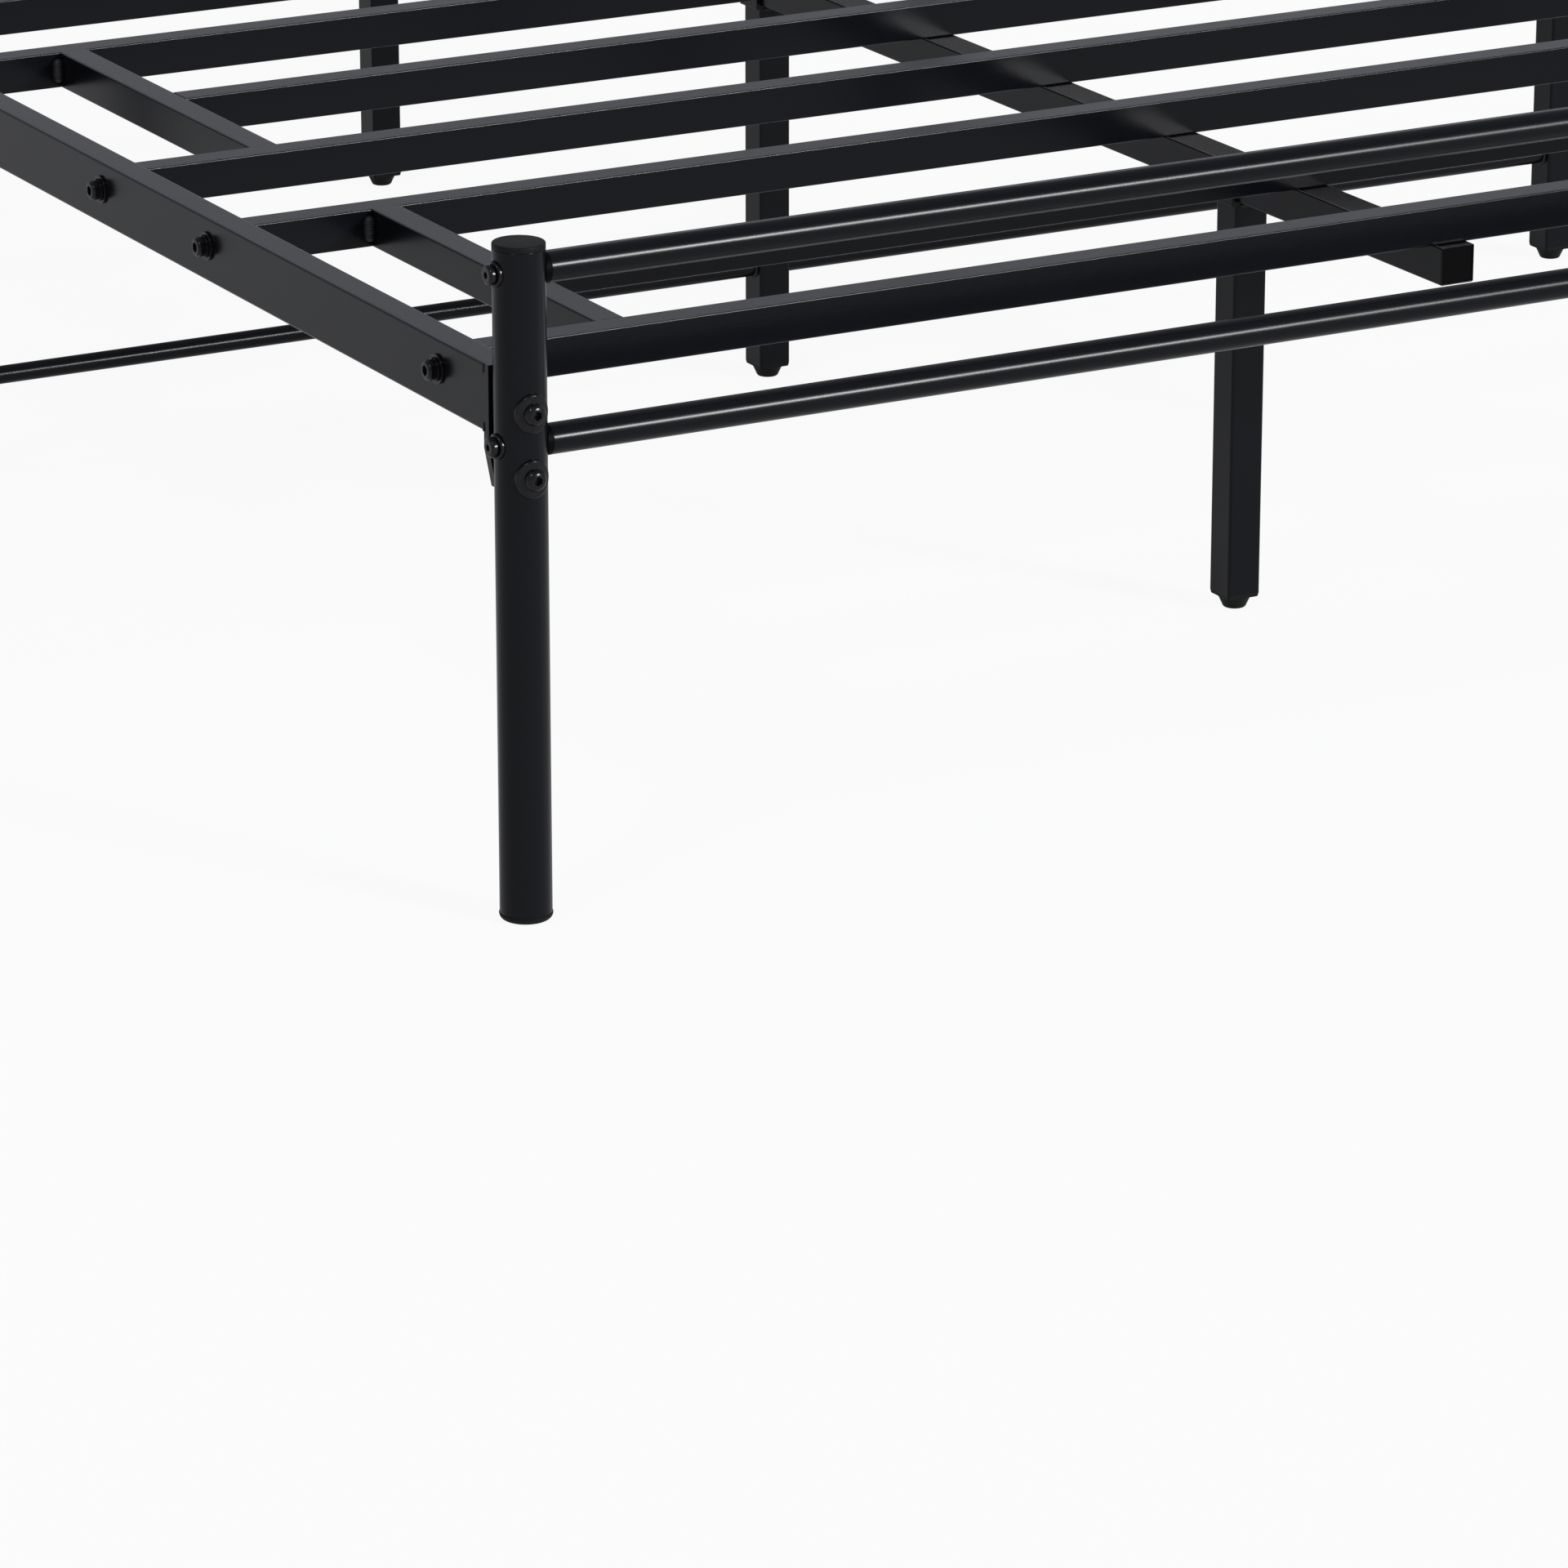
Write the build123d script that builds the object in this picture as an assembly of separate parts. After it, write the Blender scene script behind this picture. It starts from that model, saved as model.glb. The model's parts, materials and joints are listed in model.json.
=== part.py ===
"""Metal bed frame: barred foot end and head end, two side rails, a slatted deck and legs under the middle.

Millimetres. The origin is on the floor under the middle of the bed. +X is to the right seen from the foot,
+Y is towards the head and +Z is up.
"""
import os
from math import sin

from build123d import *

# Layout of the whole frame
post_spacing_across = 1410.0
post_spacing_along = 1960.0
deck_height = 337.0
foot_post_height = 420.5
head_post_height = 880.0

# Room between round faces, and between a piece and what it plugs into
fit_gap = 0.3

# Posts
post_diameter = 32.0
post_wall = 1.2
post_rounding = 0.6
cap_collar = 2.4
cap_rounding = 1.0
cap_crown = 0.3
cap_stem = 6.0
foot_height = 4.2
foot_overhang = 0.4
foot_rounding = 3.9
foot_stem = 20.0

# Bars across the two ends
bar_diameter = 19.0
bar_wall = 0.9
upper_bar_below_stem = 8.4
lower_bar_below_deck = 39.5
head_middle_bars = 2
bar_nut_length = 18.0
bar_nut_flange = 1.5

# Bolts that hold the bars
bar_bolt_diameter = 6.0
bar_bolt_grip = 12.0
bar_bolt_head = 12.5
bar_bolt_head_height = 3.6
bar_bolt_rounding = 1.8
bar_bolt_socket = 4.0
bar_bolt_socket_depth = 2.4
bar_washer_diameter = 16.0
bar_washer_thickness = 1.6
bar_washer_rounding = 0.9

# Side rails and the plates on their ends
rail_width = 20.0
rail_height = 42.0
rail_wall = 1.2
rail_corner = 2.0
rail_set_out = 3.5
rail_above_deck = 6.0
plate_width = 27.0
plate_height = 76.0
plate_thickness = 5.0
plate_hollow = 1.5
plate_taper_width = 4.5
plate_taper_height = 24.0

# Bolts that hold the plates and screw into them
plate_bolt_drops = (23.5, 63.5)
plate_bolt_diameter = 8.0
plate_bolt_head = 13.5
plate_bolt_head_height = 4.0
plate_bolt_rounding = 3.4
plate_bolt_socket = 5.0
plate_bolt_socket_depth = 3.4
plate_bolt_short = 0.5
plate_washer_diameter = 24.0
plate_washer_thickness = 2.0
plate_washer_rounding = 1.2

# Deck panels: two full slats, a short slat between them and two side pieces
panel_count = 4
slats_in_panel = 3
first_slat_inset = 82.0
slat_width = 20.0
slat_height = 25.0
slat_wall = 0.9
side_piece_inset = 107.5
side_piece_width = 20.0
side_piece_height = 25.0
slat_corner = 1.3

# Screws that hold the full slats
slat_screw_diameter = 8.0
slat_screw_grip = 14.0
slat_screw_head = 12.5
slat_screw_head_height = 5.2
slat_screw_rounding = 2.0
slat_screw_socket = 6.0
slat_screw_socket_depth = 2.6
slat_nut_length = 20.0
flat_washer_diameter = 18.5
flat_washer_thickness = 1.5
spring_washer_diameter = 14.5
spring_washer_thickness = 1.8
spring_washer_slit = 1.6

# Centre rail and the plugs in its ends
centre_rail_width = 25.0
centre_rail_height = 25.0
centre_rail_inset = 65.0
rail_plug_length = 14.0
rail_plug_recess = 0.4

# Legs under the centre rail and under the side rails
leg_size = 25.0
leg_wall = 1.0
leg_corner = 2.0
outer_leg_inset = 322.0
saddle_thickness = 3.0
saddle_cheek = 8.0
leg_flange = 2.5
leg_flange_draft = 0.5
nub_height = 8.5
nub_top_diameter = 23.0
nub_bottom_diameter = 15.0
nub_rounding = 2.0
leg_stem = 16.0
stretcher_diameter = 13.0
stretcher_wall = 0.9
stretcher_height = 85.0

# Ways a round or square body stands on, or hangs from, its own origin
standing = (Align.CENTER, Align.CENTER, Align.MIN)
hanging = (Align.CENTER, Align.CENTER, Align.MAX)

# Places worked out from the sizes above
half_across = post_spacing_across / 2
half_along = post_spacing_along / 2
post_radius = post_diameter / 2
cap_height = cap_collar + cap_rounding + cap_crown
rail_place = half_across + rail_set_out
rail_outer_face = rail_place + rail_width / 2
rail_inner_face = rail_place - rail_width / 2
rail_end = half_along - post_radius - fit_gap - plate_thickness
rail_top = deck_height + rail_above_deck
slat_middle_height = deck_height - slat_height / 2
slat_count = panel_count * slats_in_panel
slat_pitch = (post_spacing_along - 2 * first_slat_inset) / (slat_count - 1)
slat_places = [first_slat_inset - half_along + slat_pitch * n for n in range(slat_count)]
full_slats = [n for n in range(slat_count) if n % slats_in_panel in (0, slats_in_panel - 1)]
side_piece_place = half_across - side_piece_inset
centre_rail_bottom = deck_height - slat_height - centre_rail_height
leg_bottom = nub_height + leg_flange
lower_bar_height = deck_height - lower_bar_below_deck
plate_bolt_heights = [rail_top - drop for drop in plate_bolt_drops]

sides = {"left": -1, "right": 1}
ends = {"foot": -1, "head": 1}
post_corners = [(side, end) for side in sides for end in ends]
post_heights = {"foot": foot_post_height, "head": head_post_height}


def upper_bar_height(post_height):
    """Height of the top bar's axis, just under the stem of the post's cap."""
    return post_height - cap_height - cap_stem - upper_bar_below_stem


def head_bar_heights():
    """Heights of the head bars' axes, evenly spaced from the lower bar to the top one."""
    step = (upper_bar_height(head_post_height) - lower_bar_height) / (head_middle_bars + 1)
    return [lower_bar_height + step * n for n in range(head_middle_bars + 2)]


bar_heights = {"foot": [lower_bar_height, upper_bar_height(foot_post_height)], "head": head_bar_heights()}


def place(point, outward):
    """Location at a point, with its own Z along the outward direction."""
    return Plane(origin=point, z_dir=outward).location


def round_tube(length, diameter, wall):
    """Round tube along Z with its middle at the origin."""
    return Cylinder(diameter / 2, length) - Cylinder(diameter / 2 - wall, length)


def box_tube(length, width, height, wall, corner):
    """Rectangular tube along Z with its middle at the origin, width along X, rounded outside."""
    outline = RectangleRounded(width, height, corner) - Rectangle(width - 2 * wall, height - 2 * wall)
    return extrude(outline, length / 2, both=True)


def lying_across(tube):
    """A tube along Z turned to lie along X, its height upright."""
    return Plane.YZ.location * tube


def lying_along(tube):
    """A tube along Z turned to lie along Y, its height upright."""
    return Plane.XZ.location * tube


def ring(diameter, hole_diameter, thickness):
    """Flat washer standing on the origin."""
    hole = Cylinder(hole_diameter / 2, thickness, align=standing)
    return Cylinder(diameter / 2, thickness, align=standing) - hole


def socket(size, depth, top):
    """Hexagonal recess of a bolt head, from its top face down."""
    return Pos(0, 0, top - depth) * extrude(RegularPolygon(size / 2, 6, major_radius=False), depth)


def domed_disc(diameter, rise):
    """Low dome standing on the origin."""
    curve = (diameter ** 2 / 4 + rise ** 2) / (2 * rise)
    return Pos(0, 0, rise - curve) * Sphere(curve) & Pos(0, 0, rise / 2) * Cylinder(diameter / 2, rise)


def button_bolt(diameter, length, head, head_height, rounding, socket_size, socket_depth):
    """Bolt with a round-edged head above the origin and its shank below."""
    body = Cylinder(head / 2, head_height, align=standing)
    body = fillet(body.edges().group_by(Axis.Z)[-1], rounding)
    shank = Pos(0, 0, -length / 2) * Cylinder(diameter / 2, length)
    return shank + body - socket(socket_size, socket_depth, head_height)


def curved_washer(diameter, hole_diameter, thickness, rounding):
    """Flat disc bent round a post that stands along X at the origin, facing +Z, its outer rim rounded."""
    inner = post_radius + fit_gap
    shell = Cylinder(inner + thickness, diameter) - Cylinder(inner, diameter)
    bent_reach = inner * sin(diameter / 2 / inner)
    outline = extrude(Ellipse(diameter / 2, bent_reach), 2 * inner)
    disc = Rot(0, 90, 0) * shell & outline
    disc = fillet(disc.edges().sort_by(Axis.Z)[-1], rounding)
    return disc - Pos(0, 0, inner) * Cylinder(hole_diameter / 2, 2 * inner)


def post(side, end, height):
    """Upright tube with the bolt holes of its bars and of its rail's end plate."""
    length = height - cap_height - foot_height
    tube = round_tube(length, post_diameter, post_wall)
    tube = fillet(tube.edges().group_by(Axis.Z)[-1].sort_by(SortBy.LENGTH)[-1], post_rounding)
    tube = Pos(0, 0, foot_height + length / 2) * tube
    bar_hole = Rot(0, 90, 0) * Cylinder(bar_bolt_diameter / 2 + fit_gap, post_diameter)
    plate_hole = Rot(90, 0, 0) * Cylinder(plate_bolt_diameter / 2 + fit_gap, post_diameter)
    for bar_height in bar_heights[end]:
        tube -= Pos(0, 0, bar_height) * bar_hole
    for bolt_height in plate_bolt_heights:
        tube -= Pos(0, 0, bolt_height) * plate_hole
    return Pos(sides[side] * half_across, ends[end] * half_along, 0) * tube


def post_cap():
    """Plug for a post's top, rounded and slightly crowned, the underside of its collar at the origin."""
    shoulder = cap_collar + cap_rounding
    collar = Cylinder(post_radius, shoulder, align=standing)
    collar = fillet(collar.edges().group_by(Axis.Z)[-1], cap_rounding)
    crown = Pos(0, 0, shoulder) * domed_disc(post_diameter - 2 * cap_rounding, cap_crown)
    stem = Pos(0, 0, -cap_stem) * Cylinder(post_radius - post_wall - fit_gap, cap_stem, align=standing)
    return collar + crown + stem


def post_foot():
    """Rounded plug for a post's bottom, standing on the origin."""
    base = Cylinder(post_radius + foot_overhang, foot_height, align=standing)
    base = fillet(base.edges().group_by(Axis.Z)[0], foot_rounding)
    stem = Pos(0, 0, foot_height) * Cylinder(post_radius - post_wall - fit_gap, foot_stem, align=standing)
    return base + stem


def end_bar(end, height):
    """Round bar between the flanges of the plugs in its ends."""
    length = 2 * (half_across - post_radius - fit_gap - bar_nut_flange)
    return Pos(0, ends[end] * half_along, height) * lying_across(round_tube(length, bar_diameter, bar_wall))


def bar_nut():
    """Threaded plug of a bar's end, its flange hollowed to the post that stands along X at the origin."""
    bar_end = -post_radius - fit_gap - bar_nut_flange
    plug = Pos(0, 0, bar_end) * Cylinder(bar_diameter / 2 - bar_wall - fit_gap, bar_nut_length, align=hanging)
    flange = Pos(0, 0, bar_end) * Cylinder(bar_diameter / 2, -bar_end, align=standing)
    flange -= Rot(0, 90, 0) * Cylinder(post_radius + fit_gap, post_diameter)
    hole = Cylinder(bar_bolt_diameter / 2 + fit_gap, bar_nut_length - bar_end, align=hanging)
    return plug + flange - hole


def side_rail(side):
    """Upright rectangular tube between the end plates, drilled for the slat screws."""
    rail = lying_along(box_tube(2 * rail_end, rail_width, rail_height, rail_wall, rail_corner))
    rail = Pos(0, 0, rail_top - rail_height / 2) * rail
    hole = Rot(0, 90, 0) * Cylinder(slat_screw_diameter / 2 + fit_gap, rail_width)
    for n in full_slats:
        rail -= Pos(0, slat_places[n], slat_middle_height) * hole
    return Pos(sides[side] * rail_place, 0, 0) * rail


def rail_end_plate(side, end):
    """Plate between a rail's end and its post: hollowed to the post, tapered below, with two bolt holes."""
    edge = plate_width / 2
    taper_top = plate_taper_height - plate_height
    corners = [
        (edge, 0),
        (edge, taper_top),
        (edge - plate_taper_width, -plate_height),
        (plate_taper_width - edge, -plate_height),
        (-edge, taper_top),
        (-edge, 0),
    ]
    outline = make_face(Polyline(*corners, close=True))
    depth = plate_thickness + plate_hollow
    middle = rail_end + depth / 2
    plate = extrude(Plane.XZ * outline, depth / 2, both=True)
    plate -= Pos(0, ends[end] * (half_along - middle), 0) * Cylinder(post_radius + fit_gap, 2 * plate_height)
    hole = Rot(90, 0, 0) * Cylinder(plate_bolt_diameter / 2 + fit_gap, 4 * plate_thickness)
    for drop in plate_bolt_drops:
        plate -= Pos(0, 0, -drop) * hole
    return Pos(sides[side] * half_across, ends[end] * middle, rail_top) * plate


def slat(n):
    """Rectangular tube across the bed: from rail to rail, or between two side pieces."""
    reach = rail_inner_face if n in full_slats else side_piece_place - side_piece_width / 2
    tube = lying_across(box_tube(2 * reach, slat_width, slat_height, slat_wall, slat_corner))
    return Pos(0, slat_places[n], slat_middle_height) * tube


def panel_side_piece(panel, side):
    """Rectangular tube that joins a panel's first full slat to its last."""
    first = slat_places[panel * slats_in_panel]
    last = slat_places[panel * slats_in_panel + slats_in_panel - 1]
    length = last - first - slat_width
    tube = lying_along(box_tube(length, side_piece_width, side_piece_height, slat_wall, slat_corner))
    return Pos(sides[side] * side_piece_place, (first + last) / 2, deck_height - side_piece_height / 2) * tube


def slat_nut():
    """Threaded block inside a slat's end, its outer face at the origin and its body below."""
    width = slat_width - 2 * slat_wall - 2 * fit_gap
    height = slat_height - 2 * slat_wall - 2 * fit_gap
    body = extrude(Rectangle(height, width), -slat_nut_length)
    return body - Cylinder(slat_screw_diameter / 2 + fit_gap, 4 * slat_nut_length)


def slat_screw():
    """Screw through its washers and the rail into a slat's end, its head above the origin."""
    length = flat_washer_thickness + spring_washer_thickness + rail_width + slat_screw_grip
    return button_bolt(
        slat_screw_diameter,
        length,
        slat_screw_head,
        slat_screw_head_height,
        slat_screw_rounding,
        slat_screw_socket,
        slat_screw_socket_depth,
    )


def spring_washer():
    """Split ring standing on the origin."""
    whole = ring(spring_washer_diameter, slat_screw_diameter + 2 * fit_gap, spring_washer_thickness)
    slit = Box(spring_washer_diameter, spring_washer_slit, 4 * spring_washer_thickness)
    return whole - Pos(spring_washer_diameter / 2, 0, 0) * slit


def centre_rail():
    """Square tube along the bed, under the slats."""
    length = post_spacing_along - 2 * centre_rail_inset
    tube = lying_along(box_tube(length, centre_rail_width, centre_rail_height, slat_wall, slat_corner))
    return Pos(0, 0, centre_rail_bottom + centre_rail_height / 2) * tube


def centre_rail_plug(end):
    """Block that closes an end of the centre rail."""
    width = centre_rail_width - 2 * slat_wall - 2 * fit_gap
    height = centre_rail_height - 2 * slat_wall - 2 * fit_gap
    reach = half_along - centre_rail_inset - rail_plug_recess - rail_plug_length / 2
    block = Box(width, rail_plug_length, height)
    return Pos(0, ends[end] * reach, centre_rail_bottom + centre_rail_height / 2) * block


def leg(point, rail_bottom):
    """Square upright tube from its foot to the saddle under a rail."""
    length = rail_bottom - saddle_thickness - leg_bottom
    tube = Pos(0, 0, leg_bottom + length / 2) * box_tube(length, leg_size, leg_size, leg_wall, leg_corner)
    return Pos(*point, 0) * tube


def leg_saddle(point, rail_bottom, width):
    """Bent bracket on a leg's top with a cheek on each side of the rail."""
    inside = width + 2 * fit_gap
    block = Box(inside + 2 * saddle_thickness, leg_size, saddle_thickness + saddle_cheek)
    channel = Pos(0, 0, saddle_thickness) * Box(inside, leg_size, saddle_thickness + saddle_cheek)
    return Pos(*point, rail_bottom + (saddle_cheek - saddle_thickness) / 2) * (block - channel)


def leg_foot(point):
    """Plug for a leg's bottom: a round nub, a square flange with draft and a stem inside the tube."""
    nub = Cone(nub_bottom_diameter / 2, nub_top_diameter / 2, nub_height, align=standing)
    nub = fillet(nub.edges().group_by(Axis.Z)[0], nub_rounding)
    low_size = leg_size - 2 * leg_flange_draft
    low_face = Pos(0, 0, nub_height) * RectangleRounded(low_size, low_size, leg_corner)
    top_face = Pos(0, 0, leg_bottom) * RectangleRounded(leg_size, leg_size, leg_corner)
    flange = loft([low_face.face(), top_face.face()])
    stem_size = leg_size - 2 * leg_wall - 2 * fit_gap
    stem = Pos(0, 0, leg_bottom) * Box(stem_size, stem_size, leg_stem, align=standing)
    return Pos(*point, 0) * (nub + flange + stem)


def stretcher(side):
    """Thin round tube from the middle centre leg to a side leg."""
    length = rail_place - leg_size
    tube = lying_across(round_tube(length, stretcher_diameter, stretcher_wall))
    return Pos(sides[side] * rail_place / 2, 0, stretcher_height) * tube


def save(name, *pieces):
    """Write one named piece, or a group of like pieces, to its own file."""
    solids = [solid for piece in pieces for solid in piece.solids()]
    export_step(Compound(children=solids), os.path.join("parts", name + ".step"))


os.makedirs("parts", exist_ok=True)

# Posts with their caps and feet
for side, end in post_corners:
    save(f"{end}_post_{side}", post(side, end, post_heights[end]))
caps = []
feet = []
for side, end in post_corners:
    x = sides[side] * half_across
    y = ends[end] * half_along
    caps.append(Pos(x, y, post_heights[end] - cap_height) * post_cap())
    feet.append(Pos(x, y, 0) * post_foot())
save("post_caps", *caps)
save("post_feet", *feet)

# Bars of the two ends with their bolts, washers and nuts
save("foot_bar_lower", end_bar("foot", bar_heights["foot"][0]))
save("foot_bar_upper", end_bar("foot", bar_heights["foot"][1]))
for n, height in enumerate(bar_heights["head"]):
    save(f"head_bar_{n + 1}", end_bar("head", height))
bar_seat = post_radius + bar_washer_thickness + 2 * fit_gap
bar_bolt = button_bolt(
    bar_bolt_diameter,
    bar_seat + post_radius + fit_gap + bar_bolt_grip,
    bar_bolt_head,
    bar_bolt_head_height,
    bar_bolt_rounding,
    bar_bolt_socket,
    bar_bolt_socket_depth,
)
bar_washer = curved_washer(
    bar_washer_diameter,
    bar_bolt_diameter + 2 * fit_gap,
    bar_washer_thickness,
    bar_washer_rounding,
)
bar_bolts = []
bar_washers = []
bar_nuts = []
for side, end in post_corners:
    outward = sides[side]
    y = ends[end] * half_along
    for height in bar_heights[end]:
        seat = place((outward * (half_across + bar_seat), y, height), (outward, 0, 0))
        bar_bolts.append(seat * bar_bolt)
        turn = Plane(origin=(outward * half_across, y, height), x_dir=(0, 0, 1), z_dir=(outward, 0, 0))
        bar_washers.append(turn.location * bar_washer)
        bar_nuts.append(turn.location * bar_nut())
save("bar_bolts", *bar_bolts)
save("bar_washers", *bar_washers)
save("bar_end_nuts", *bar_nuts)

# Side rails with their end plates, bolts and washers
for side in sides:
    save(f"side_rail_{side}", side_rail(side))
for side, end in post_corners:
    save(f"rail_end_plate_{end}_{side}", rail_end_plate(side, end))
plate_seat = post_radius + plate_washer_thickness + 2 * fit_gap
plate_bolt = button_bolt(
    plate_bolt_diameter,
    plate_seat + post_radius + fit_gap + plate_thickness - plate_bolt_short,
    plate_bolt_head,
    plate_bolt_head_height,
    plate_bolt_rounding,
    plate_bolt_socket,
    plate_bolt_socket_depth,
)
plate_washer = curved_washer(
    plate_washer_diameter,
    plate_bolt_diameter + 2 * fit_gap,
    plate_washer_thickness,
    plate_washer_rounding,
)
plate_bolts = []
plate_washers = []
for side, end in post_corners:
    outward = ends[end]
    x = sides[side] * half_across
    for height in plate_bolt_heights:
        seat = place((x, outward * (half_along + plate_seat), height), (0, outward, 0))
        plate_bolts.append(seat * plate_bolt)
        turn = Plane(origin=(x, outward * half_along, height), x_dir=(0, 0, 1), z_dir=(0, outward, 0))
        plate_washers.append(turn.location * plate_washer)
save("plate_bolts", *plate_bolts)
save("plate_washers", *plate_washers)

# Deck panels
for panel in range(panel_count):
    for n in range(slats_in_panel):
        save(f"panel_{panel + 1}_slat_{n + 1}", slat(panel * slats_in_panel + n))
    for side in sides:
        save(f"panel_{panel + 1}_side_piece_{side}", panel_side_piece(panel, side))

# Screws, washers and nuts of the full slats
slat_screws = []
spring_washers = []
flat_washers = []
slat_nuts = []
slat_hole = slat_screw_diameter + 2 * fit_gap
screw_seat = flat_washer_thickness + spring_washer_thickness
for outward in sides.values():
    for n in full_slats:
        y = slat_places[n]
        on_rail = Plane(
            origin=(outward * rail_outer_face, y, slat_middle_height),
            x_dir=(0, 0, 1),
            z_dir=(outward, 0, 0),
        ).location
        flat_washers.append(on_rail * ring(flat_washer_diameter, slat_hole, flat_washer_thickness))
        spring_washers.append(on_rail * Pos(0, 0, flat_washer_thickness) * spring_washer())
        slat_screws.append(on_rail * Pos(0, 0, screw_seat) * slat_screw())
        slat_nuts.append(on_rail * Pos(0, 0, -rail_width) * slat_nut())
save("slat_screws", *slat_screws)
save("slat_spring_washers", *spring_washers)
save("slat_flat_washers", *flat_washers)
save("slat_end_nuts", *slat_nuts)

# Centre rail, legs, saddles, feet and stretchers
save("centre_rail", centre_rail())
save("centre_rail_plugs", *[centre_rail_plug(end) for end in ends])
outer_leg_place = half_along - outer_leg_inset
centre_places = {"foot": (0, -outer_leg_place), "middle": (0, 0), "head": (0, outer_leg_place)}
side_places = {side: (sides[side] * rail_place, 0) for side in sides}
rail_bottom = rail_top - rail_height
saddles = []
leg_feet = []
for name, point in centre_places.items():
    save(f"centre_leg_{name}", leg(point, centre_rail_bottom))
    saddles.append(leg_saddle(point, centre_rail_bottom, centre_rail_width))
    leg_feet.append(leg_foot(point))
for name, point in side_places.items():
    save(f"side_leg_{name}", leg(point, rail_bottom))
    saddles.append(leg_saddle(point, rail_bottom, rail_width))
    leg_feet.append(leg_foot(point))
    save(f"stretcher_{name}", stretcher(name))
save("leg_saddles", *saddles)
save("leg_feet", *leg_feet)
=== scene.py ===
import json
from math import ceil, cos, pi, radians, sin, sqrt

import bmesh
import bpy
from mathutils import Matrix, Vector


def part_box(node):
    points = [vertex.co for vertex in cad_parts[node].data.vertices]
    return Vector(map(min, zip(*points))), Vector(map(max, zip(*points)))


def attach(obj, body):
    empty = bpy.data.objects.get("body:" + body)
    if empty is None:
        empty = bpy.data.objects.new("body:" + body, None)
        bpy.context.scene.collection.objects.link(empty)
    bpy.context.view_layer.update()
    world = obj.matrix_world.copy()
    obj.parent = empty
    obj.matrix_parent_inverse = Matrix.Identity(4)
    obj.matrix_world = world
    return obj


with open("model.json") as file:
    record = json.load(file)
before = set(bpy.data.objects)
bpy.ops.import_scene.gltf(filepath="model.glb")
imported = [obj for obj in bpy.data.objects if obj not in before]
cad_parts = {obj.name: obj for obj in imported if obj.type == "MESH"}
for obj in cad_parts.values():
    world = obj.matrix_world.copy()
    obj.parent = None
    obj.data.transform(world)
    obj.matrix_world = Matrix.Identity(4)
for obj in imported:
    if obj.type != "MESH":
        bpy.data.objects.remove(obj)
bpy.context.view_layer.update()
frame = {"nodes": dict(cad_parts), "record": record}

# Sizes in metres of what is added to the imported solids
deck_bead = 0.0042
deck_bead_short = 0.0042
deck_bead_aside = 0.0024
deck_bead_forward = 0.0014
rail_bead = 0.0009
rail_bead_length = 0.006
ring_bead = 0.0016
saddle_bead = 0.0015
saddle_bead_short = 0.003
bead_step = 0.0017
bead_sides = 10
floor_size = 120
floor_drop = 0.0004

# How strongly the orange peel shows, and the upward slope from and to which an edge gets a painted highlight
square_peel = 0.025
round_peel = 0.008
highlight_slope_from = 0.7
highlight_slope_to = 0.996

# How white the floor is to the camera and in reflections
floor_white = 0.92
floor_white_mirrored = 0.3


class Value:
    """A shader socket that takes part in Python sums."""

    def __init__(self, shader, socket):
        self.shader = shader
        self.socket = socket

    def math(self, operation, first, second):
        return self.shader.node("ShaderNodeMath", {"operation": operation}, {0: first, 1: second})[0]

    def __add__(self, other):
        return self.math("ADD", self, other)

    def __radd__(self, other):
        return self.math("ADD", other, self)

    def __sub__(self, other):
        return self.math("SUBTRACT", self, other)

    def __rsub__(self, other):
        return self.math("SUBTRACT", other, self)

    def __mul__(self, other):
        return self.math("MULTIPLY", self, other)

    def __rmul__(self, other):
        return self.math("MULTIPLY", other, self)

    def __pow__(self, other):
        return self.math("POWER", self, other)


class Shader:
    """Adds nodes to one material's or world's tree."""

    def __init__(self, owner):
        owner.use_nodes = True
        self.tree = owner.node_tree
        self.tree.nodes.clear()

    def node(self, kind, settings, sockets):
        """Adds a node, sets its settings and then its sockets, and returns its outputs."""
        made = self.tree.nodes.new(kind)
        for name, setting in settings.items():
            setattr(made, name, setting)
        for name, value in sockets.items():
            if isinstance(value, Value):
                self.tree.links.new(value.socket, made.inputs[name])
            else:
                made.inputs[name].default_value = value
        return Outputs(self, made)

    def blend_colours(self, factor, first, second):
        """Colour that goes from the first to the second as the factor goes from 0 to 1."""
        sockets = {"Factor": factor, 6: first, 7: second}
        return self.node("ShaderNodeMix", {"data_type": "RGBA"}, sockets)[2]

    def noise(self, place, scale, detail):
        """Smooth noise from 0 to 1, the scale in lumps per metre."""
        sockets = {"Vector": place, "Scale": scale, "Detail": detail, "Roughness": 0.55}
        return self.node("ShaderNodeTexNoise", {}, sockets)[0]


class Outputs:
    """The output sockets of a node, by name or number."""

    def __init__(self, shader, made):
        self.shader = shader
        self.made = made

    def __getitem__(self, name):
        return Value(self.shader, self.made.outputs[name])


def between(value, low, high):
    """A value from 0 to 1 spread over the range from low to high."""
    return low + value * (high - low)


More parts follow.
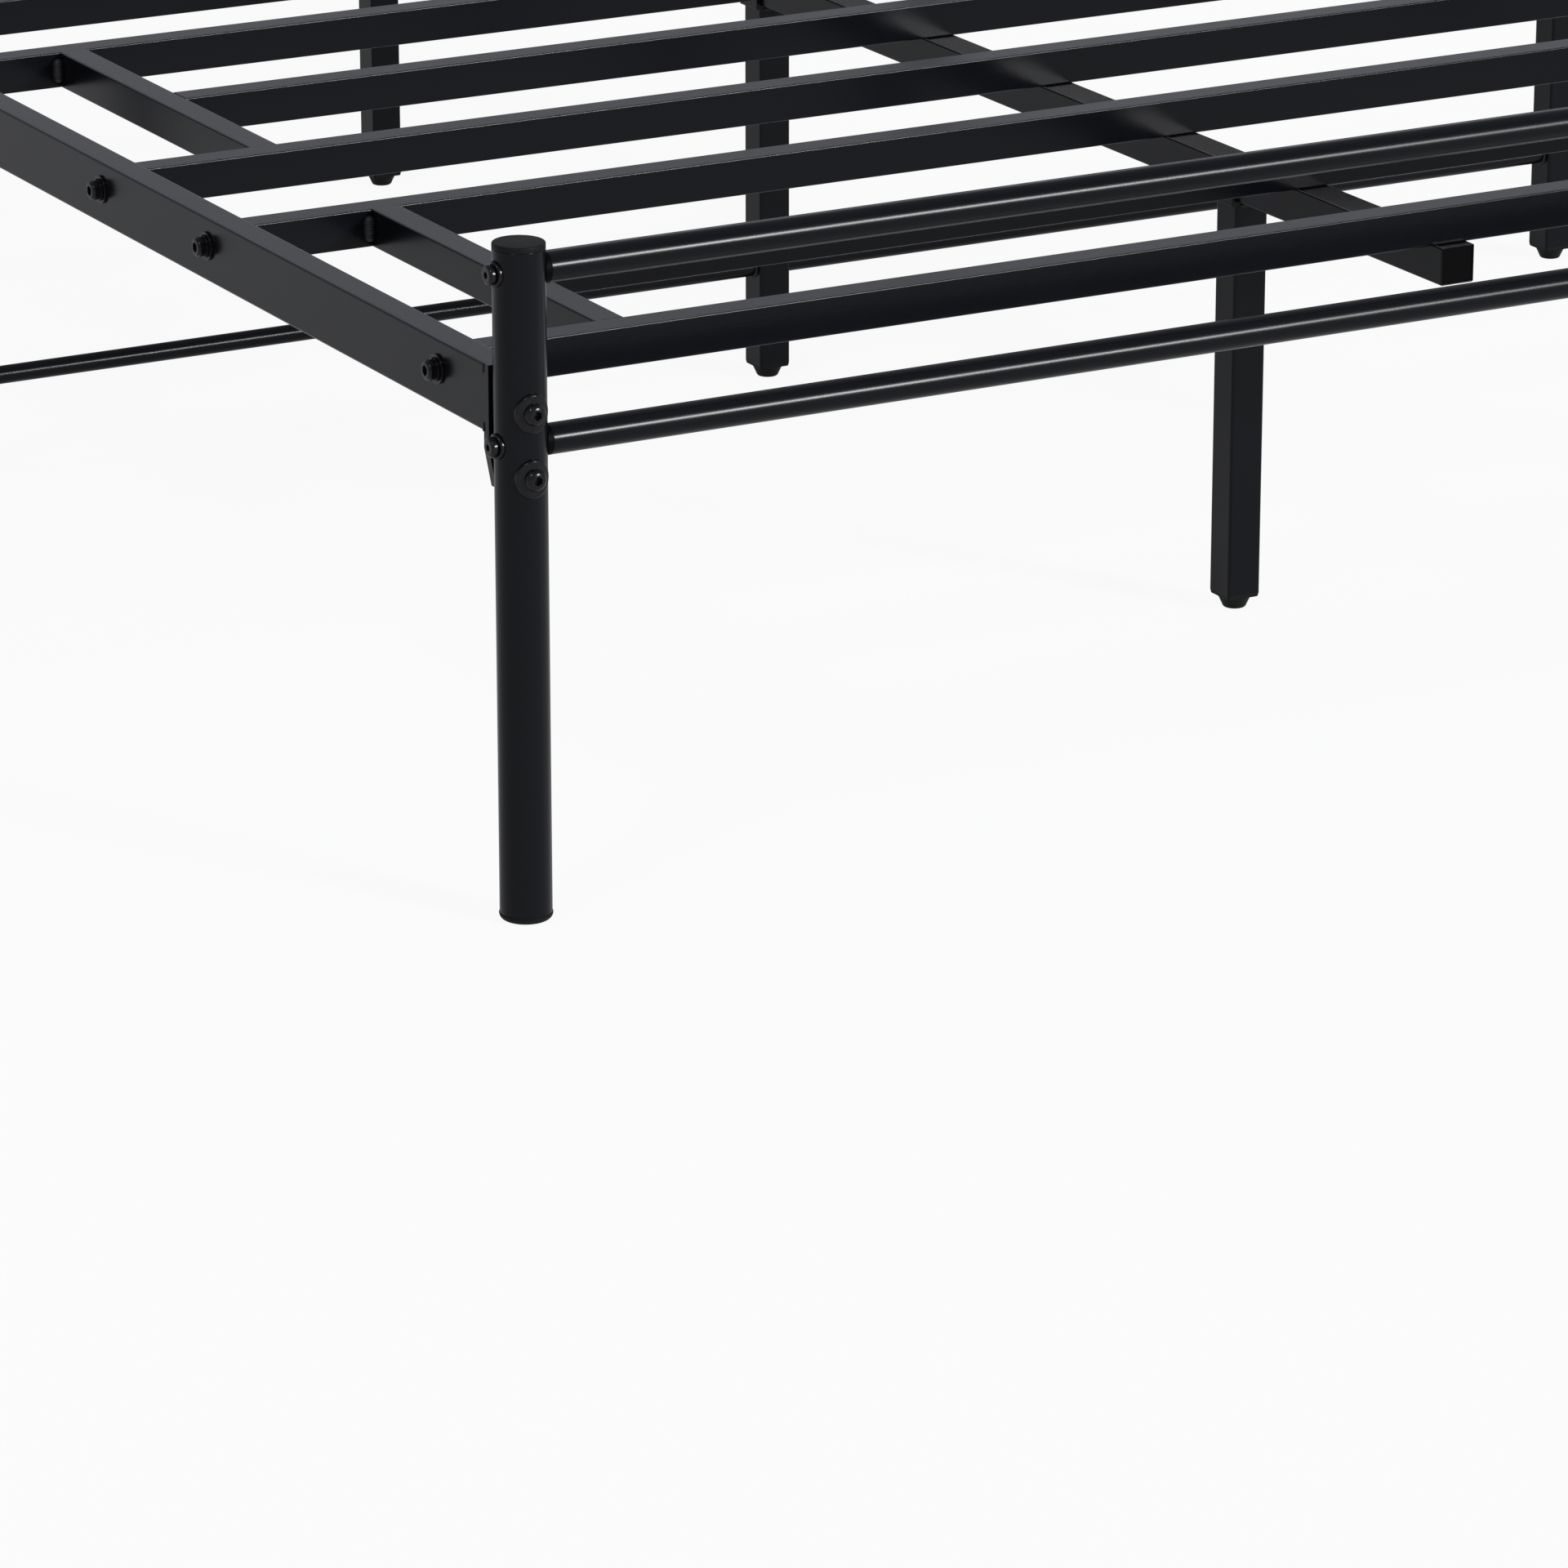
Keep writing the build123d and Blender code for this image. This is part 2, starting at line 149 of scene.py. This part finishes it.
def powder_coat(name, square):
    """Satin black powder coat with orange peel and a trace of dust, with a painted highlight along the upper
    edges of square tube.
    """
    material = bpy.data.materials.new(name)
    shader = Shader(material)
    place = shader.node("ShaderNodeTexCoord", {}, {})["Object"]
    facing = shader.node("ShaderNodeNewGeometry", {}, {})["Normal"]
    upward = shader.node("ShaderNodeSeparateXYZ", {}, {"Vector": facing})["Z"]
    cloud = shader.noise(place, 9.0, 4.0)
    grain = shader.noise(place, 620.0, 2.0)
    peel = shader.noise(place, 480.0, 1.0)
    dust = shader.node("ShaderNodeClamp", {}, {"Value": upward * cloud})[0]
    black = shader.blend_colours(grain, (0.0021, 0.0025, 0.0040, 1), (0.0038, 0.0042, 0.0058, 1))
    colour = shader.blend_colours(dust * 0.1, black, (0.03, 0.03, 0.032, 1))
    peeled = {"Strength": square_peel if square else round_peel, "Distance": 0.0001, "Height": peel}
    if square:
        # Painted highlight: the upper edges of square tube are lightened in the base colour, where the light
        # would catch them
        leaning = shader.node("ShaderNodeClamp", {}, {"Value": (upward - highlight_slope_from) * 8.0})[0]
        off_level = shader.node("ShaderNodeClamp", {}, {"Value": (highlight_slope_to - upward) * 60.0})[0]
        painted_edge_highlight = leaning * off_level * between(cloud, 0.5, 1.0)
        colour = shader.blend_colours(painted_edge_highlight, colour, (0.1, 0.1, 0.11, 1))
        peeled["Normal"] = shader.node("ShaderNodeBevel", {"samples": 6}, {"Radius": 0.0006})[0]
    bump = shader.node("ShaderNodeBump", {}, peeled)[0]
    paint = shader.node("ShaderNodeBsdfPrincipled", {}, {
        "Base Color": colour,
        "Roughness": between(cloud, 0.20, 0.27),
        "Specular IOR Level": 0.16,
        "Normal": bump,
    })[0]
    shader.node("ShaderNodeOutputMaterial", {}, {"Surface": paint})
    return material


def plated_steel():
    """Black plating on bolts and washers, with tool marks, a little wear and worn edges."""
    material = bpy.data.materials.new("black_plating")
    shader = Shader(material)
    place = shader.node("ShaderNodeTexCoord", {}, {})["Object"]
    patch = shader.noise(place, 260.0, 3.0)
    marks = shader.noise(place, 1500.0, 2.0)
    colour = shader.blend_colours(patch ** 3.0, (0.0034, 0.0036, 0.0044, 1), (0.014, 0.014, 0.0146, 1))
    soft_edge = shader.node("ShaderNodeBevel", {"samples": 6}, {"Radius": 0.0006})[0]
    bump = shader.node("ShaderNodeBump", {}, {
        "Strength": 0.15,
        "Distance": 0.00006,
        "Height": marks,
        "Normal": soft_edge,
    })[0]
    plating = shader.node("ShaderNodeBsdfPrincipled", {}, {
        "Base Color": colour,
        "Roughness": between(patch, 0.16, 0.26),
        "Specular IOR Level": 0.24,
        "Normal": bump,
    })[0]
    shader.node("ShaderNodeOutputMaterial", {}, {"Surface": plating})
    return material


def matt_black(name, dark, light, shine):
    """Matt black with a fine grain: moulded plastic, dull steel or the rough coat over a weld."""
    material = bpy.data.materials.new(name)
    shader = Shader(material)
    place = shader.node("ShaderNodeTexCoord", {}, {})["Object"]
    grain = shader.noise(place, 1400.0, 3.0)
    cloud = shader.noise(place, 60.0, 2.0)
    colour = shader.blend_colours(grain, dark, light)
    soft_edge = shader.node("ShaderNodeBevel", {"samples": 4}, {"Radius": 0.0005})[0]
    bump = shader.node("ShaderNodeBump", {}, {
        "Strength": 0.2,
        "Distance": 0.0001,
        "Height": grain,
        "Normal": soft_edge,
    })[0]
    matt = shader.node("ShaderNodeBsdfPrincipled", {}, {
        "Base Color": colour,
        "Roughness": between(cloud, 0.46, 0.58),
        "Specular IOR Level": shine,
        "Normal": bump,
    })[0]
    shader.node("ShaderNodeOutputMaterial", {}, {"Surface": matt})
    return material


finishes = {
    "black_paint": powder_coat("powder_coat", False),
    "bolt_black": plated_steel(),
    "black_plastic": matt_black(
        "moulded_plastic", (0.004, 0.0045, 0.0043, 1), (0.0082, 0.0088, 0.0085, 1), 0.12
    ),
}
weld_finish = matt_black("weld_coat", (0.0075, 0.008, 0.009, 1), (0.013, 0.0135, 0.0145, 1), 0.36)
dull_finish = matt_black("dull_black", (0.0012, 0.0012, 0.0015, 1), (0.0024, 0.0024, 0.0028, 1), 0.04)
dull_solids = ("centre_rail_plugs", "bar_end_nuts")
square_finish = powder_coat("powder_coat_square_tube", True)
square_solids = (
    "panel_",
    "side_rail_",
    "centre_rail",
    "centre_leg_",
    "side_leg_",
    "rail_end_plate_",
    "leg_saddles",
)


def add_rings(mesh, rings, closed):
    """Joins rings of points into a skin, capped at both ends unless it closes on itself."""
    made = [[mesh.verts.new(point) for point in ring] for ring in rings]
    pairs = list(zip(made, made[1:]))
    if closed:
        pairs.append((made[-1], made[0]))
    for near, far in pairs:
        for n in range(len(near)):
            after = (n + 1) % len(near)
            mesh.faces.new((near[n], near[after], far[after], far[n]))
    if not closed:
        mesh.faces.new(list(reversed(made[0])))
        mesh.faces.new(made[-1])


def ripple(n, size):
    """Radius of a weld bead at its n-th ring: overlapping puddles, each a little different."""
    puddle = 0.86 + 0.14 * abs(sin(n * pi / 3))
    return size * (puddle + 0.05 * sin(n * 1.7) + 0.04 * sin(n * 0.61))


def straight_bead(mesh, start, end, size):
    """Weld bead along a straight corner, rounded at both ends."""
    run = end - start
    count = ceil(run.length / bead_step * 3)
    across = run.orthogonal().normalized()
    beside = run.cross(across).normalized()
    rings = []
    for n in range(count + 1):
        to_end = run.length * min(n, count - n) / count
        short = max(0.0, 1 - to_end / size)
        radius = ripple(n, size) * sqrt(1 - 0.9 * short ** 2)
        centre = start + run * (n / count)
        turns = [2 * pi * k / bead_sides for k in range(bead_sides)]
        rings.append([centre + (across * cos(t) + beside * sin(t)) * radius for t in turns])
    add_rings(mesh, rings, False)


def ring_bead_round(mesh, centre, radius, size):
    """Weld bead round a tube that runs along X."""
    count = 6 * ceil(2 * pi * radius / bead_step / 2)
    rings = []
    for n in range(count):
        turn = 2 * pi * n / count
        outward = Vector((0, cos(turn), sin(turn)))
        bead = ripple(n, size)
        turns = [2 * pi * k / bead_sides for k in range(bead_sides)]
        middle = centre + outward * radius
        rings.append([middle + outward * cos(t) * bead + Vector((sin(t) * bead, 0, 0)) for t in turns])
    add_rings(mesh, rings, True)


def weld_piece(name, fill):
    """A piece made of weld beads, with the rough coat over it."""
    mesh = bmesh.new()
    fill(mesh)
    bmesh.ops.recalc_face_normals(mesh, faces=mesh.faces)
    data = bpy.data.meshes.new(name)
    mesh.to_mesh(data)
    mesh.free()
    for face in data.polygons:
        face.use_smooth = True
    data.materials.append(weld_finish)
    piece = bpy.data.objects.new(name, data)
    bpy.context.scene.collection.objects.link(piece)
    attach(piece, "root")


def upright_bead(mesh, x, y, low, high, size):
    """Weld bead up an inner corner."""
    straight_bead(mesh, Vector((x, y, low)), Vector((x, y, high)), size)


def deck_beads(mesh):
    """Beads in the corners of the side pieces and the short slats, short of their tops and bottoms."""
    for panel in range(1, 5):
        for welded in ("side_piece_left", "side_piece_right", "slat_2"):
            node = f"panel_{panel}_{welded}"
            low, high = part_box(node)
            slat_ends = node.endswith("slat_2")
            aside = deck_bead_forward if slat_ends else deck_bead_aside
            forward = deck_bead_aside if slat_ends else deck_bead_forward
            for x in (low.x - aside, high.x + aside):
                for y in (low.y + forward, high.y - forward):
                    upright_bead(mesh, x, y, low.z + deck_bead_short, high.z - deck_bead_short, deck_bead)


def rail_beads(mesh):
    """Short beads at the rails' corners on their end plates."""
    for side in ("left", "right"):
        low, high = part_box(f"side_rail_{side}")
        inside = high.x if side == "left" else low.x
        outside = low.x if side == "left" else high.x
        for y in (low.y, high.y):
            for z, towards in ((low.z, 1), (high.z, -1)):
                upright_bead(mesh, inside, y, z, z + towards * rail_bead_length, rail_bead)
                upright_bead(mesh, outside, y, z, z + towards * rail_bead_length, rail_bead)


def leg_beads(mesh):
    """Beads round the stretchers' ends and under the saddles."""
    for side in ("left", "right"):
        low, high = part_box(f"stretcher_{side}")
        middle = (low + high) / 2
        for x in (low.x, high.x):
            ring_bead_round(mesh, Vector((x, middle.y, middle.z)), (high.z - low.z) / 2, ring_bead)
    for leg in ("centre_leg_foot", "centre_leg_middle", "centre_leg_head", "side_leg_left", "side_leg_right"):
        low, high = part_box(leg)
        for y in (low.y, high.y):
            start = Vector((low.x + saddle_bead_short, y, high.z))
            end = Vector((high.x - saddle_bead_short, y, high.z))
            straight_bead(mesh, start, end, saddle_bead)


weld_piece("deck_welds", deck_beads)
weld_piece("rail_welds", rail_beads)
weld_piece("leg_welds", leg_beads)

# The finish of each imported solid, by its name or else by its slot in the record
for subpart in frame["record"]["subparts"]:
    solid = frame["nodes"][subpart["node"]]
    solid.data.materials.clear()
    finish = finishes[subpart["material_slot"]]
    if subpart["node"] in dull_solids:
        finish = dull_finish
    elif subpart["node"].startswith(square_solids):
        finish = square_finish
    solid.data.materials.append(finish)


def white_floor():
    """Wide pale floor that reads white to the camera and in reflections, and still takes the bed's shadow."""
    bpy.ops.mesh.primitive_plane_add(size=floor_size, location=(0, 0, -floor_drop))
    floor = bpy.context.object
    floor.name = "floor"
    material = bpy.data.materials.new("pale_floor")
    shader = Shader(material)
    path = shader.node("ShaderNodeLightPath", {}, {})
    mirrored = path["Is Glossy Ray"] + path["Is Transmission Ray"]
    seen = path["Is Camera Ray"] * floor_white + mirrored * floor_white_mirrored
    matt = shader.node("ShaderNodeBsdfDiffuse", {}, {"Color": (0.78, 0.78, 0.78, 1)})[0]
    white = shader.node("ShaderNodeEmission", {}, {"Color": (1, 1, 1, 1), "Strength": 1.0})[0]
    mixed = shader.node("ShaderNodeMixShader", {}, {0: seen, 1: matt, 2: white})[0]
    shader.node("ShaderNodeOutputMaterial", {}, {"Surface": mixed})
    floor.data.materials.append(material)


def soft_room():
    """Pale, faintly blue walls all round under a darker ceiling."""
    world = bpy.data.worlds.new("pale_room")
    bpy.context.scene.world = world
    shader = Shader(world)
    towards = shader.node("ShaderNodeTexCoord", {}, {})["Generated"]
    height = shader.node("ShaderNodeSeparateXYZ", {}, {"Vector": towards})["Z"]
    ceiling = shader.node("ShaderNodeClamp", {}, {"Value": (height - 0.3) * 4.0})[0]
    colour = shader.blend_colours(ceiling, (0.49, 0.505, 0.555, 1), (0.29, 0.3, 0.325, 1))
    light = shader.node("ShaderNodeBackground", {}, {"Color": colour, "Strength": 1.0})[0]
    shader.node("ShaderNodeOutputWorld", {}, {"Surface": light})


def soft_lamp(name, towards, strength, spread):
    """Wide lamp far away, in the given direction from the bed."""
    lamp = bpy.data.lights.new(name, "SUN")
    lamp.energy = strength
    lamp.angle = radians(spread)
    holder = bpy.data.objects.new(name, lamp)
    holder.rotation_euler = Vector(towards).to_track_quat("Z", "Y").to_euler()
    bpy.context.scene.collection.objects.link(holder)


def camera_at_the_corner():
    """Long lens aimed at the foot end's left corner from above."""
    lens = bpy.data.cameras.new("corner_view")
    lens.sensor_width = 36.0
    lens.lens = 175.287
    lens.clip_end = 200.0
    holder = bpy.data.objects.new("corner_view", lens)
    holder.location = (-2.66239, -4.84128, 1.56388)
    holder.rotation_euler = (radians(90 - 18.8733), 0, radians(-28.9371))
    bpy.context.scene.collection.objects.link(holder)
    bpy.context.scene.camera = holder


white_floor()
soft_room()
soft_lamp("front_key", towards=(0.445, -0.83, 0.335), strength=2.5, spread=10.0)
soft_lamp("left_fill", towards=(-0.55, -0.35, 0.76), strength=0.6, spread=12.0)
camera_at_the_corner()
bpy.context.scene.view_settings.view_transform = "Standard"
